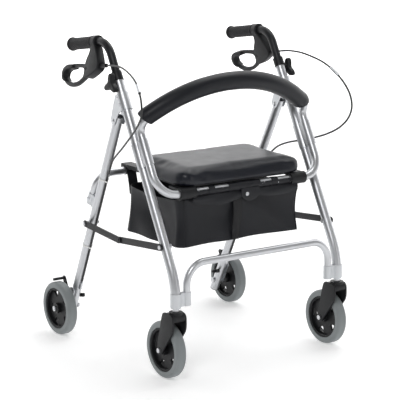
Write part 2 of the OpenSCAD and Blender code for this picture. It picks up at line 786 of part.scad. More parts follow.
// Point of the brake frame in the rollator's frame, for a point in its plane
function brake_at(p) = let (x = -p[1] * sin(brake_lean), z = p[1] * cos(brake_lean))
  [frame_half + x, handle_u * sin(leg_tilt) - front_reach + p[0] * cos(grip_fall) + z * sin(grip_fall),
    handle_u * cos(leg_tilt) + knee_z - p[0] * sin(grip_fall) + z * cos(grip_fall)];

module brake_cable(bow) {
  start = [for (d = [0.3, 24, 50]) brake_at(nose_end - [d, 0])];
  route = concat(smooth_path(concat(start, bow), 2), [for (z = cable_leg_z) cable_at(z)]);
  color(BLACK) sweep(route, cable_r, cable_sides);
}

// Barrel adjusters on the cables, near the front of each bow, centred on a route point
module cable_barrels() {
  color(STEEL) for (side = [LEFT, RIGHT]) sided(side) {
    bow = cable_bows[side == LEFT ? 0 : 1];
    translate(bow[3]) multmatrix(along(unit(bow[4] - bow[2]))) translate([0, 0, -17]) difference() {
      cylinder(r = 4.5, h = 34);
      translate([0, 0, -1]) cylinder(r = cable_r + 1.6, h = 36);
    }
  }
}

// Rotation that turns +Z to a direction
function along(d) = let (w = unit(d), u = unit(cross([1, 0, 0], w)), v = cross(w, u))
  [[v[0], u[0], w[0], 0], [v[1], u[1], w[1], 0], [v[2], u[2], w[2], 0], [0, 0, 0, 1]];

tie_z = [480, 275];
tie_w = 4;
tie_t = 1.2;

module cable_ties() {
  color("white") both() for (z = tie_z) on_rear_leg() translate([0, 0, -(fold_z - z) / rear_dz * rear_len])
    linear_extrude(tie_w) difference() {
      tie_outline(tie_t);
      tie_outline(0.1);
    }
}

// Outline round the leg and the cable together
module tie_outline(grow) {
  r = cable_r + 0.4 + grow;
  circle(leg_r + grow);
  translate([0, -cable_off]) circle(r);
  translate([-r, -cable_off]) square([2 * r, cable_off]);
}

// Threaded stops at the lower ends of the cable sheaths
stop_z = 150;

module cable_stops() {
  color(STEEL) both() on_rear_leg() translate([0, 0, -(fold_z - stop_z) / rear_dz * rear_len]) difference() {
    union() {
      translate([0, -cable_off, -8]) cylinder(r = 4.5, h = 22);
      translate([-4, -cable_off, -6]) cube([8, cable_off, 8]);
    }
    translate([0, 0, -10]) cylinder(r = leg_r + hold_gap, h = 40);
    translate([0, -cable_off, -10]) cylinder(r = 1.2, h = 30);
  }
}

// Brake arms: pivot in the rear leg feet, a finger across each rear tyre and a crank for the cable
brake_pivot_z = 108;
brake_pin_r = 4;
brake_arm_t = 4;
finger_r = 4;
finger_gap = 3.4;

module brake_arm() {
  pivot = rear_at(brake_pivot_z);
  arm_x = foot_plate_x + foot_plate_t + 0.6;
  reach = axle_z + finger_gap + finger_r;
  tip = [axle_back + reach * sin(8), axle_z + reach * cos(8)];
  crank = [pivot[1] - 15, pivot[2] + 3];
  inner_x = pivot[0] - leg_r - 18;
  color(BLACK) {
    translate([arm_x, 0, 0]) link_plate([pivot[1], pivot[2]], tip, 13, brake_arm_t);
    translate([arm_x, tip[0], tip[1]]) x_rod(finger_r, rear_wheel_half + wheel_w / 2 - 2 - arm_x);
    translate([inner_x, pivot[1], pivot[2]]) x_rod(brake_pin_r, arm_x + brake_arm_t - inner_x);
    translate([inner_x + 10, 0, 0]) link_plate([pivot[1], pivot[2]], crank, 11, 4);
  }
}

// ---- casters and wheels

hub_gap = 0.4;
fork_gap = 2.5;
fork_t = 5;
fork_top = 188;
crown_low = 155;
stem_r = 5;

module caster_stems() {
  color(STEEL) both() at_caster() {
    translate([0, 0, crown_low + 6]) cylinder(r = stem_r, h = leg_foot_z - crown_low);
    translate([0, 0, fork_top + 0.5]) cylinder(r = 8.5, h = leg_foot_z - fork_top - 0.5 - 0.05);
    translate([0, 0, leg_foot_z]) cylinder(r = leg_bore_r - hold_gap, h = 14);
  }
}

module caster_fork() {
  half = wheel_w / 2 + fork_gap;
  arm = [[-18, fork_top - 6], [-18, 138], [0, 114], [trail - 12, axle_z - 4], [trail, axle_z - 12],
    [trail + 10, axle_z - 7], [trail + 13, axle_z + 4], [36, crown_low], [25, 178], [20, fork_top - 6]];
  color(BLACK) at_caster() difference() {
    union() {
      for (x = [-half - fork_t, half]) translate([x, 0, 0]) yz_plate(arm, fork_t);
      translate([-half - eps, 0, 0])
        yz_plate([[-18, crown_low], [32, crown_low], [25, 178], [20, fork_top - 6], [-18, fork_top - 6]],
          2 * (half + eps));
      translate([0, 0, fork_top - 8]) cylinder(r = 18, h = 8);
    }
    translate([0, 0, crown_low + 4]) cylinder(r = stem_r + run_gap, h = fork_top - crown_low);
    translate([-half - fork_t - 1, trail, axle_z]) x_rod(axle_d / 2 + hold_gap, 2 * (half + fork_t + 1));
  }
}

module caster_axle() {
  half = wheel_w / 2 + fork_gap + fork_t;
  color(STEEL) at_caster() translate([0, trail, axle_z]) {
    translate([-half - 3.5, 0, 0]) x_rod(axle_d / 2, 2 * half + 7);
    for (x = [-half - 4, half + 0.1]) translate([x, 0, 0]) x_rod(6.5, 3.9);
    for (x = [-half + fork_t + 0.05, half - fork_t - fork_gap + hub_gap])
      translate([x, 0, 0]) x_rod(7, fork_gap - hub_gap - 0.05);
  }
}

// Wheel pieces about the X axis, middle at the origin
rim_t = 6;
web_t = 7;
spokes = 5;

module hub_shape() {
  rim_r = hub_d / 2;
  color(BLACK) rotate([90, 0, 90]) difference() {
    union() {
      translate([0, 0, -wheel_w / 2 + 3]) linear_extrude(wheel_w - 6) ring(rim_r, rim_r - rim_t);
      translate([0, 0, -web_t / 2]) cylinder(r = rim_r - rim_t + eps, h = web_t);
      translate([0, 0, -wheel_w / 2]) cylinder(r = 15, h = wheel_w);
    }
    translate([0, 0, -wheel_w]) cylinder(r = axle_d / 2 + run_gap, h = 2 * wheel_w);
    for (k = [0 : spokes - 1]) rotate(k * 360 / spokes) translate([rim_r - rim_t, 0, -web_t])
      linear_extrude(2 * web_t) polygon([[-4, -13], [-4, 13], [-20, 4], [-20, -4]]);
  }
}

module tyre_shape() {
  r = 8;
  seat_r = hub_d / 2 + hold_gap;
  color(GREY) rotate([0, 90, 0]) rotate_extrude($fn = 96) {
    translate([seat_r, -wheel_w / 2]) square([axle_z - r - seat_r, wheel_w]);
    translate([seat_r, -wheel_w / 2 + r]) square([axle_z - seat_r, wheel_w - 2 * r]);
    for (s = [-1, 1]) translate([axle_z - r, s * (wheel_w / 2 - r)]) circle(r);
  }
}

module at_front_wheel() {
  translate([frame_half, trail - front_reach, axle_z]) children();
}

module at_rear_wheel() {
  translate([rear_wheel_half, axle_back, axle_z]) children();
}

sided(LEFT) front_leg();  // front_leg_left
sided(RIGHT) front_leg();  // front_leg_right
lower_front_bar();
lower_clamps();
seat_front_tube();
tube_sleeves();
backrest_tube();
backrest_pad();
fold_brackets();
fold_rivets();
leg_collars();
sided(LEFT) rear_leg();  // rear_leg_left
sided(RIGHT) rear_leg();  // rear_leg_right
rear_cross_tube();
rear_clamps();
rear_foot_plates();
rear_axles();
sided(LEFT) brace_front();  // brace_front_left
sided(RIGHT) brace_front();  // brace_front_right
sided(LEFT) brace_rear();  // brace_rear_left
sided(RIGHT) brace_rear();  // brace_rear_right
brace_bolts_rear();
seat_board();
seat_cushion();
seat_hinges();
seat_rests();
bag();
sided(LEFT) handle_post();  // handle_post_left
sided(RIGHT) handle_post();  // handle_post_right
sided(LEFT) grip();  // grip_left
sided(RIGHT) grip();  // grip_right
sided(LEFT) brake_housing();  // brake_housing_left
sided(RIGHT) brake_housing();  // brake_housing_right
sided(LEFT) brake_lever();  // brake_lever_left
sided(RIGHT) brake_lever();  // brake_lever_right
sided(LEFT) knob();  // knob_left
sided(RIGHT) knob();  // knob_right
sided(LEFT) clamp_bolt();  // clamp_bolt_left
sided(RIGHT) clamp_bolt();  // clamp_bolt_right
sided(LEFT) brake_cable(cable_bows[0]);  // brake_cable_left
sided(RIGHT) brake_cable(cable_bows[1]);  // brake_cable_right
cable_barrels();
cable_ties();
cable_stops();
sided(LEFT) brake_arm();  // brake_arm_left
sided(RIGHT) brake_arm();  // brake_arm_right
leg_caps();
sided(LEFT) caster_fork();  // caster_fork_left
sided(RIGHT) caster_fork();  // caster_fork_right
caster_stems();
sided(LEFT) caster_axle();  // caster_axle_left
sided(RIGHT) caster_axle();  // caster_axle_right
sided(LEFT) at_front_wheel() hub_shape();  // hub_front_left
sided(RIGHT) at_front_wheel() hub_shape();  // hub_front_right
sided(LEFT) at_rear_wheel() hub_shape();  // hub_rear_left
sided(RIGHT) at_rear_wheel() hub_shape();  // hub_rear_right
sided(LEFT) at_front_wheel() tyre_shape();  // tyre_front_left
sided(RIGHT) at_front_wheel() tyre_shape();  // tyre_front_right
sided(LEFT) at_rear_wheel() tyre_shape();  // tyre_rear_left
sided(RIGHT) at_rear_wheel() tyre_shape();  // tyre_rear_right
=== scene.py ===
import bpy, bmesh, math
from mathutils import Matrix, Vector


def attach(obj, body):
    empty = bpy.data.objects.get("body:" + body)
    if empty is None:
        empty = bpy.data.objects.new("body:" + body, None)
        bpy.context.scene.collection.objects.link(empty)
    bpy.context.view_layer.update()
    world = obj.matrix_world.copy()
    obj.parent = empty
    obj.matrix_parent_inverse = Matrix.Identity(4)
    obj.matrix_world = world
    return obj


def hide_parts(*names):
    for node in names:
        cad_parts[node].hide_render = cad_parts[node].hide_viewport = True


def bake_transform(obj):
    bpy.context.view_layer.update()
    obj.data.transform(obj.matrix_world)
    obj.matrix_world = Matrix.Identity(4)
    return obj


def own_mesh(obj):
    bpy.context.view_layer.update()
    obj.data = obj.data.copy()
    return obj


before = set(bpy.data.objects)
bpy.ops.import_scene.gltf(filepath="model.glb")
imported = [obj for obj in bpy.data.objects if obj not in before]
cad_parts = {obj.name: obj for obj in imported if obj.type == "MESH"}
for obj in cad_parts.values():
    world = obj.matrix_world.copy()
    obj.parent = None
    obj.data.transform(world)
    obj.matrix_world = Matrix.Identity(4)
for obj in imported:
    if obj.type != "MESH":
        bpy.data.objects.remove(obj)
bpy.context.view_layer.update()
SIDES = {"left": 1, "right": -1}

# Camera: a long lens from the front left of the rollator, a little above the handles' height.
# The stage is a pale floor with soft studio light: a broad key, a fill and a top softbox.
AZIMUTH, ELEVATION = math.radians(-35.077), math.radians(12.015)
camera = bpy.data.objects.new("camera", bpy.data.cameras.new("camera"))
bpy.context.scene.collection.objects.link(camera)
camera.data.sensor_width = 36
camera.data.lens = 143.2
camera.data.clip_end = 60
toward = Vector((math.sin(AZIMUTH) * math.cos(ELEVATION), -math.cos(AZIMUTH) * math.cos(ELEVATION),
                 math.sin(ELEVATION)))
CAMERA_PLACE = (-2.4967, -3.5768, 1.3269)
camera.matrix_world = Matrix.Translation(CAMERA_PLACE) @ toward.to_track_quat("Z", "Y").to_matrix().to_4x4()
bpy.context.scene.camera = camera
bpy.context.scene.view_settings.view_transform = "Standard"


class Value:
    """A number that varies over a surface; Python's operators on it add Math nodes."""

    def __init__(self, finish, socket):
        self.finish, self.socket = finish, socket

    def _math(self, operation, a, b):
        node = self.finish.node("ShaderNodeMath", {"operation": operation}, {0: a, 1: b})
        return Value(self.finish, node.outputs[0])

    def __add__(self, other): return self._math("ADD", self, other)
    def __radd__(self, other): return self._math("ADD", other, self)
    def __mul__(self, other): return self._math("MULTIPLY", self, other)
    def __rmul__(self, other): return self._math("MULTIPLY", other, self)


class Finish:
    """A material under construction: its shader, and one way to add any node to it."""

    def __init__(self, name, color, roughness, metallic=0.0, **constants):
        self.material = bpy.data.materials.new(name)
        self.material.use_nodes = True
        self.tree = self.material.node_tree
        self.shader = self.tree.nodes["Principled BSDF"]
        self.shader.inputs["Base Color"].default_value = (*color, 1)
        self.shader.inputs["Roughness"].default_value = roughness
        self.shader.inputs["Metallic"].default_value = metallic
        for key, value in constants.items():
            self.shader.inputs[key.replace("_", " ").title().replace("Ior", "IOR")].default_value = value
        self.place = self.node("ShaderNodeTexCoord", {}, {}).outputs["Object"]

    def node(self, kind, settings, sockets):
        node = self.tree.nodes.new(kind)
        for key, value in settings.items():
            setattr(node, key, value)
        for key, value in sockets.items():
            if isinstance(value, Value):
                value = value.socket
            if isinstance(value, bpy.types.NodeSocket):
                self.tree.links.new(value, node.inputs[key])
            else:
                node.inputs[key].default_value = value
        return node

    def stretched(self, scale, turn=(0, 0, 0)):
        node = self.node("ShaderNodeMapping", {}, {"Vector": self.place, "Scale": scale, "Rotation": turn})
        return node.outputs[0]

    def noise(self, scale, detail=3.0, where=None):
        node = self.node("ShaderNodeTexNoise", {}, {"Vector": where or self.place, "Scale": scale, "Detail": detail})
        return Value(self, node.outputs["Fac"])

    def cells(self, scale, feature="F1", where=None):
        node = self.node("ShaderNodeTexVoronoi", {"feature": feature}, {"Vector": where or self.place, "Scale": scale})
        return Value(self, node.outputs["Distance"])

    def bands(self, scale, direction, where=None):
        node = self.node("ShaderNodeTexWave", {"bands_direction": direction}, {"Vector": where or self.place,
                                                                               "Scale": scale})
        return Value(self, node.outputs["Fac"])

    def mix(self, factor, first, second):
        node = self.node("ShaderNodeMix", {"data_type": "RGBA"}, {"Factor": factor, 6: (*first, 1), 7: (*second, 1)})
        return node.outputs[2]

    def color(self, factor, first, second):
        self.tree.links.new(self.mix(factor, first, second), self.shader.inputs["Base Color"])

    def rough(self, value):
        self.tree.links.new(value.socket, self.shader.inputs["Roughness"])

    def bump(self, height, strength, distance):
        node = self.node("ShaderNodeBump", {}, {"Height": height, "Strength": strength, "Distance": distance})
        self.tree.links.new(node.outputs[0], self.shader.inputs["Normal"])


def dress(finish, *nodes):
    """Gives CAD nodes a finish; a name without a side means both sides."""
    for name in nodes:
        for full in ([name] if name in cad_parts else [name + "_left", name + "_right"]):
            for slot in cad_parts[full].material_slots:
                slot.material = finish.material


floor_finish = Finish("studio_floor", (0.86, 0.86, 0.86), 0.7, emission_strength=0.34)
floor_finish.color(floor_finish.noise(3.0), (0.85, 0.85, 0.85), (0.87, 0.87, 0.87))
floor_finish.shader.inputs["Emission Color"].default_value = (1, 1, 1, 1)
backdrop_finish = Finish("studio_backdrop", (0.9, 0.9, 0.9), 0.8, emission_strength=0.9)
backdrop_finish.color(backdrop_finish.noise(1.0), (0.90, 0.90, 0.90), (0.92, 0.92, 0.92))
backdrop_finish.shader.inputs["Emission Color"].default_value = (1, 1, 1, 1)
bpy.ops.object.select_all(action="DESELECT")
bpy.ops.mesh.primitive_plane_add(size=12, location=(0, 0, -0.0005))
floor = bpy.context.object
floor.name = "studio_floor"
floor.data.materials.append(floor_finish.material)
bpy.ops.object.select_all(action="DESELECT")
bpy.ops.mesh.primitive_cylinder_add(vertices=96, radius=5.6, depth=9.0, end_fill_type="NOTHING",
                                    location=(0, 0, 4.45))
backdrop = bpy.context.object
backdrop.name = "studio_backdrop"
bpy.ops.object.transform_apply(location=True, rotation=True, scale=True)
bpy.ops.object.mode_set(mode="EDIT")
bpy.ops.mesh.select_mode(type="FACE")
bpy.ops.mesh.select_all(action="DESELECT")
wall_mesh = bmesh.from_edit_mesh(backdrop.data)
for face in wall_mesh.faces:
    face.select = face.calc_center_median().dot(toward) > -0.2
bmesh.update_edit_mesh(backdrop.data)
bpy.ops.mesh.delete(type="FACE")
bpy.ops.object.mode_set(mode="OBJECT")
backdrop.data.materials.append(backdrop_finish.material)

world = bpy.data.worlds.new("studio")
bpy.context.scene.world = world
world.use_nodes = True
world.node_tree.nodes["Background"].inputs["Color"].default_value = (1.0, 1.0, 1.0, 1)
world.node_tree.nodes["Background"].inputs["Strength"].default_value = 0.18


def softbox(name, place, size, watts):
    light = bpy.data.lights.new(name, "AREA")
    light.shape = "RECTANGLE"
    light.size, light.size_y = size
    light.energy = watts
    lamp = bpy.data.objects.new(name, light)
    lamp.location = place
    lamp.rotation_euler = (Vector(place) - Vector((0, 0, 0.45))).to_track_quat("Z", "Y").to_euler()
    bpy.context.scene.collection.objects.link(lamp)


softbox("key", (-2.2, -2.2, 2.9), (1.2, 1.2), 42)
softbox("fill", (1.2, -3.4, 1.4), (0.5, 2.4), 12)
softbox("top", (0.9, 0.2, 3.0), (1.6, 1.6), 22)

# Brake cables: black polymer sheath over steel coil, 5 mm thick, stiff enough to stand out in a bow.
# Each leaves its housing's nose, bows forward past the leg, and comes back to run down the rear leg.
sheath = Finish("cable_sheath", (0.008, 0.008, 0.009), 0.36)
sheath.bump(sheath.noise(900.0), 0.08, 0.0004)
sheath.color(sheath.noise(60.0), (0.005, 0.005, 0.006), (0.011, 0.011, 0.012))
FOLD_PIVOT = Vector((0.270, -0.026, 0.652))
AXLE = Vector((0.256, 0.252, 0.076))


def on_rear_leg(height, out=0.0):
    """A point in front of the left rear leg's axis, at a height."""
    along = (AXLE - FOLD_PIVOT)
    tilt = math.atan2(along.y, -along.z)
    point = FOLD_PIVOT + along * ((0.652 - height) / 0.576)
    return point + Vector((0, -out * math.cos(tilt), -out * math.sin(tilt)))


CABLE_RADIUS = 0.0025
CABLE_OUT = 0.0157
CABLE_ROUTES = {
    "left": [(286, 1.7, 797.4), (289.5, -22, 800.6), (293, -48, 803), (297, -90, 802), (304, -132, 794),
             (313, -172, 781), (325, -206, 759), (337, -232, 730), (347, -248, 697), (351, -252, 662),
             (348, -240, 629), (339, -214, 601), (326, -178, 580), (311, -136, 564), (298, -92, 552),
             (288, -50, 541), (280, -14, 526), (275, 12, 506)],
    "right": [(286, 1.7, 797.4), (289.5, -22, 800.6), (293, -48, 803), (297, -90, 802), (305, -134, 794),
              (316, -180, 781), (330, -220, 763), (341, -248, 742), (345, -258, 718), (341, -249, 696),
              (332, -224, 676), (319, -182, 648), (307, -132, 616), (295, -80, 584), (285, -38, 560),
              (278, -10, 542), (275, 6, 522), (273, 18, 503)]}


def smooth_line(points, steps):
    """A Catmull-Rom line through the points."""
    line = []
    for i in range(len(points) - 1):
        a, b, c, d = (points[max(i - 1, 0)], points[i], points[i + 1], points[min(i + 2, len(points) - 1)])
        for k in range(steps):
            t = k / steps
            line.append(0.5 * (2 * b + (c - a) * t + (2 * a - 5 * b + 4 * c - d) * t * t
                               + (3 * b - a - 3 * c + d) * t ** 3))
    return line + [points[-1]]


def tube(name, line, radius, finish, sides=16, taper=None):
    """A round tube swept along a line, closed at both ends, its place in its mesh."""
    mesh = bmesh.new()
    rings = []
    side = None
    for i, point in enumerate(line):
        heading = (line[min(i + 1, len(line) - 1)] - line[max(i - 1, 0)]).normalized()
        side = (heading.orthogonal() if side is None else side - heading * side.dot(heading)).normalized()
        other = heading.cross(side)
        r = radius if taper is None else taper(i / (len(line) - 1))
        rings.append([mesh.verts.new(point + r * (math.cos(2 * math.pi * k / sides) * side
                                                  + math.sin(2 * math.pi * k / sides) * other))
                      for k in range(sides)])
    for a, b in zip(rings, rings[1:]):
        for k in range(sides):
            mesh.faces.new((a[k], a[(k + 1) % sides], b[(k + 1) % sides], b[k]))
    mesh.faces.new(list(reversed(rings[0])))
    mesh.faces.new(rings[-1])
    data = bpy.data.meshes.new(name)
    mesh.to_mesh(data)
    mesh.free()
    piece = bpy.data.objects.new(name, data)
    bpy.context.scene.collection.objects.link(piece)
    data.materials.append(finish.material)
    for face in data.polygons:
        face.use_smooth = len(face.vertices) == 4
    return piece


def mirrored(points, sign):
    return [Vector((p[0] * sign, p[1], p[2])) for p in points]


for side, sign in SIDES.items():
    points = [Vector(p) / 1000 for p in CABLE_ROUTES[side]]
    down = [on_rear_leg(h / 1000, CABLE_OUT) for h in (495, 470, 430, 380, 330, 280, 230, 190, 167)]
    upper = mirrored(smooth_line(points, 6)[:6 * 6 + 1], sign)
    middle = mirrored(smooth_line(points, 6)[6 * 6:10 * 6 + 1], sign)
    lower_points = smooth_line(points + down, 6)[10 * 6:]
    lower = mirrored(lower_points, sign)
    handle_cable = tube("cable_upper_" + side, upper, CABLE_RADIUS, sheath)
    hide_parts("brake_cable_" + side)
    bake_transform(handle_cable)
    bow_cable = tube("cable_bow_" + side, middle, CABLE_RADIUS, sheath)
    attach(bow_cable, "front_frame")
    leg_cable = tube("cable_lower_" + side, lower, CABLE_RADIUS, sheath)
    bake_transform(leg_cable)

# Legs and clamps: 25 mm aluminium tube, satin anodised, with the fine lengthwise lines of drawn stock.
# The brackets and clamps are aluminium too, a shade duller from tumbling.
drawn = Finish("drawn_aluminium", (0.80, 0.81, 0.83), 0.30, metallic=1.0)
lines = drawn.noise(60.0, 4.0, drawn.stretched((9, 9, 0.4)))
drawn.rough(0.34 + 0.14 * lines)
drawn.color(drawn.noise(9.0), (0.56, 0.57, 0.59), (0.64, 0.65, 0.67))
drawn.bump(lines, 0.06, 0.0003)
dress(drawn, "front_leg", "rear_leg", "tube_sleeves")
bent = Finish("bent_tube", (0.82, 0.83, 0.85), 0.26, metallic=1.0)
bent_lines = bent.noise(60.0, 4.0, bent.stretched((0.6, 9, 9)))
bent.rough(0.32 + 0.14 * bent_lines)
bent.color(bent.noise(9.0), (0.58, 0.59, 0.61), (0.66, 0.67, 0.69))
bent.bump(bent_lines, 0.05, 0.0003)
dress(bent, "lower_front_bar", "seat_front_tube", "backrest_tube", "rear_cross_tube")
cast = Finish("tumbled_aluminium", (0.70, 0.72, 0.74), 0.42, metallic=1.0)
pits = cast.noise(420.0, 5.0)
cast.rough(0.34 + 0.20 * cast.noise(35.0))
cast.color(cast.noise(18.0), (0.58, 0.60, 0.62), (0.68, 0.69, 0.71))
cast.bump(pits, 0.10, 0.0004)
dress(cast, "lower_clamps", "rear_clamps", "fold_brackets", "rear_foot_plates")

# Bolts, rivets, stems, barrels: zinc-plated steel.
zinc = Finish("zinc_plate", (0.60, 0.61, 0.63), 0.30, metallic=1.0)
zinc.rough(0.20 + 0.25 * zinc.noise(160.0))
zinc.color(zinc.noise(45.0), (0.52, 0.53, 0.55), (0.68, 0.69, 0.71))
zinc.bump(zinc.noise(600.0), 0.06, 0.0003)
dress(zinc, "fold_rivets", "rear_axles", "brace_bolts_rear", "cable_barrels", "cable_stops", "caster_stems",
      "caster_axle", "clamp_bolt")

# Handle posts, braces and brake arms: steel with a black powder coat, slightly orange-peeled.
powder = Finish("powder_coat", (0.009, 0.0095, 0.012), 0.38, specular_ior_level=0.35)
peel = powder.noise(420.0, 2.0)
powder.rough(0.30 + 0.16 * powder.noise(40.0))
powder.color(powder.noise(25.0), (0.006, 0.0065, 0.008), (0.013, 0.0135, 0.016))
powder.bump(peel, 0.14, 0.0004)
dress(powder, "handle_post", "brace_front", "brace_rear", "brake_arm")

# Moulded black nylon: caps, bushes, forks, wheel hubs, knobs, levers. A fine spark-eroded texture.
nylon = Finish("black_nylon", (0.010, 0.0105, 0.013), 0.45, specular_ior_level=0.3)
spark = nylon.noise(1300.0, 4.0)
nylon.rough(0.36 + 0.2 * nylon.noise(70.0))
nylon.color(nylon.noise(30.0), (0.006, 0.0065, 0.0075), (0.014, 0.0145, 0.0165))
nylon.bump(spark, 0.16, 0.0004)
dress(nylon, "leg_collars", "leg_caps", "seat_board", "seat_hinges", "seat_rests", "brake_housing",
      "brake_lever", "knob", "caster_fork", "hub_front", "hub_rear")

# Cable ties: white nylon.
white_nylon = Finish("white_nylon", (0.80, 0.80, 0.78), 0.4)
white_nylon.color(white_nylon.noise(120.0), (0.74, 0.74, 0.72), (0.84, 0.84, 0.82))
white_nylon.bump(white_nylon.noise(900.0), 0.08, 0.0003)
dress(white_nylon, "cable_ties")

# Tyres: solid grey polyurethane, dull, with a faint mottle and dust on the tread.
urethane = Finish("grey_urethane", (0.26, 0.29, 0.30), 0.55)
urethane.rough(0.46 + 0.2 * urethane.noise(50.0))
urethane.color(urethane.noise(28.0), (0.20, 0.22, 0.225), (0.25, 0.27, 0.275))
urethane.bump(urethane.noise(500.0, 4.0), 0.15, 0.0005)
dress(urethane, "tyre_front", "tyre_rear")

# Seat cushion: foam on a board under one sheet of black vinyl, pulled over the edges and stapled below.
# It is crowned in the middle, rolls over at its sides, and its front corners pull in.
vinyl = Finish("black_vinyl", (0.007, 0.008, 0.013), 0.34, specular_ior_level=0.35, coat_weight=0.06,
               coat_roughness=0.24)
leather_cells = vinyl.cells(520.0)
vinyl.rough(0.30 + 0.14 * vinyl.noise(22.0))
vinyl.color(vinyl.noise(14.0), (0.004, 0.005, 0.009), (0.009, 0.011, 0.018))
vinyl.bump(leather_cells * 0.6 + vinyl.noise(260.0) * 0.4, 0.10, 0.0006)
SEAT_AXIS = Vector((0, -0.21998, 0.47728))
SEAT_PITCH = math.radians(2)
to_seat = Matrix.Translation(SEAT_AXIS) @ Matrix.Rotation(SEAT_PITCH, 4, "X")


def soft_slab(name, half, y0, y1, corner, height, roll, finish):
    """A slab standing on Z 0 with rounded corners, its top edge rolled over and its bottom edge eased."""
    bpy.ops.object.select_all(action="DESELECT")
    bpy.ops.mesh.primitive_cube_add(size=1, location=(0, (y0 + y1) / 2, height / 2),
                                    scale=(2 * half, y1 - y0, height))
    piece = bpy.context.object
    piece.name = name
    bpy.ops.object.transform_apply(location=True, rotation=True, scale=True)
    bpy.ops.object.mode_set(mode="EDIT")
    bpy.ops.mesh.select_mode(type="EDGE")
    for offset, segments, chosen in ((corner, 10, lambda a, b: abs(a.z - b.z) > height / 2),
                                     (roll, 6, lambda a, b: min(a.z, b.z) > height - 1e-5),
                                     (0.005, 3, lambda a, b: max(a.z, b.z) < 1e-5)):
        bpy.ops.mesh.select_all(action="DESELECT")
        mesh = bmesh.from_edit_mesh(piece.data)
        for edge in mesh.edges:
            edge.select = chosen(edge.verts[0].co, edge.verts[1].co)
        bmesh.update_edit_mesh(piece.data)
        bpy.ops.mesh.bevel(offset=offset, segments=segments, affect="EDGES")
    bpy.ops.object.mode_set(mode="OBJECT")
    piece.data.materials.append(finish.material)
    return piece


cushion = soft_slab("cushion_cover", 0.2005, -0.0075, 0.2425, 0.034, 0.0385, 0.016, vinyl)
remesh = cushion.modifiers.new("remesh", "REMESH")
remesh.mode = "VOXEL"
remesh.voxel_size = 0.005
bpy.ops.object.modifier_apply(modifier="remesh")
start = [v.co.copy() for v in cushion.data.vertices]
held = cushion.vertex_groups.new(name="board_side")
held.add([v.index for v in cushion.data.vertices if v.co.z < 0.003], 1.0, "REPLACE")
cloth = cushion.modifiers.new("cloth", "CLOTH")
cloth.settings.use_pressure = True
cloth.settings.uniform_pressure_force = 4.0
cloth.settings.effector_weights.gravity = 0
cloth.settings.tension_stiffness = 40
cloth.settings.compression_stiffness = 40
cloth.settings.bending_stiffness = 12
cloth.settings.vertex_group_mass = "board_side"
cloth.point_cache.frame_end = 24
for step in range(1, 19):
    bpy.context.scene.frame_set(step)
bpy.context.view_layer.objects.active = cushion
bpy.ops.object.modifier_apply(modifier="cloth")
bpy.context.scene.frame_set(1)
for vertex, before in zip(cushion.data.vertices, start):
    move = vertex.co - before
    if move.length > 0.007:
        vertex.co = before + move.normalized() * 0.007
    vertex.co.z = max(vertex.co.z, 0.0003)
    vertex.co.y = min(max(vertex.co.y, -0.0125), 0.2475)
    vertex.co.x = min(max(vertex.co.x, -0.2065), 0.2065)
bpy.ops.object.select_all(action="DESELECT")
cushion.select_set(True)
bpy.context.view_layer.objects.active = cushion
smooth = cushion.modifiers.new("smooth", "SMOOTH")
smooth.iterations = 12
smooth.factor = 0.5
bpy.ops.object.modifier_apply(modifier="smooth")
subdivide = cushion.modifiers.new("subdivide", "SUBSURF")
subdivide.levels = subdivide.render_levels = 1
bpy.ops.object.modifier_apply(modifier="subdivide")
bpy.ops.object.shade_smooth()
cushion.data.transform(to_seat @ Matrix.Translation((0, 0, 0.0165)))
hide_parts("seat_cushion")
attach(cushion, "seat")

# Backrest pad: a foam sleeve slid over the bow, with a smooth moulded skin and cut ends.
foam = Finish("foam_skin", (0.008, 0.009, 0.012), 0.40, specular_ior_level=0.32)
foam.rough(0.34 + 0.16 * foam.noise(26.0))
foam.color(foam.noise(18.0), (0.005, 0.006, 0.009), (0.011, 0.012, 0.016))
foam.bump(foam.cells(900.0) * 0.5 + foam.noise(300.0) * 0.5, 0.12, 0.0005)
TO_BOW = (Matrix.Translation((0.270, -0.297, 0.260)) @ Matrix.Rotation(math.radians(-28), 4, "X")
          @ Matrix.Translation((0, -0.034, 0.412)) @ Matrix.Rotation(math.radians(53.5), 4, "X")
          @ Matrix.Translation((0, 0, 0.0141)))


def bow_line():
    """The left half of the pad's middle line, from its end up to the middle of the bow."""
    line, elbow, bow = [], 0.030, 0.420
    turn = math.radians(56)
    for k in range(9):
        a = math.radians(30) + (turn - math.radians(30)) * k / 8
        line.append(Vector((-elbow * (1 - math.cos(a)), 0, elbow * math.sin(a))))
    corner = line[-1] + Vector((-math.sin(turn), 0, math.cos(turn))) * 0.0264
    for k in range(1, 4):
        line.append(line[8].lerp(corner, k / 4))
    for k in range(31):
        a = turn + (math.radians(90) - turn) * k / 30
        line.append(corner + Vector((-bow * (math.cos(turn) - math.cos(a)), 0, bow * (math.sin(a) - math.sin(turn)))))
    return [TO_BOW @ p for p in line]


half_line = bow_line()
half_line = [p + Vector((-0.006 * (1 - i / len(half_line)), 0.006, 0.005 - 0.002 * i / len(half_line)))
             for i, p in enumerate(half_line)]
whole = half_line + [Vector((-p.x, p.y, p.z)) for p in reversed(half_line[:-1])]


def pad_radius(t):
    end = min(t, 1 - t)
    return 0.0238 * (0.90 + 0.10 * min(1, end / 0.012) ** 0.5) + 0.0009 * math.sin(math.pi * t)


pad_line = smooth_line(whole, 4)
pad = tube("backrest_cover", pad_line, 0.024, foam, sides=48, taper=pad_radius)
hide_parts("backrest_pad")
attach(pad, "front_frame")

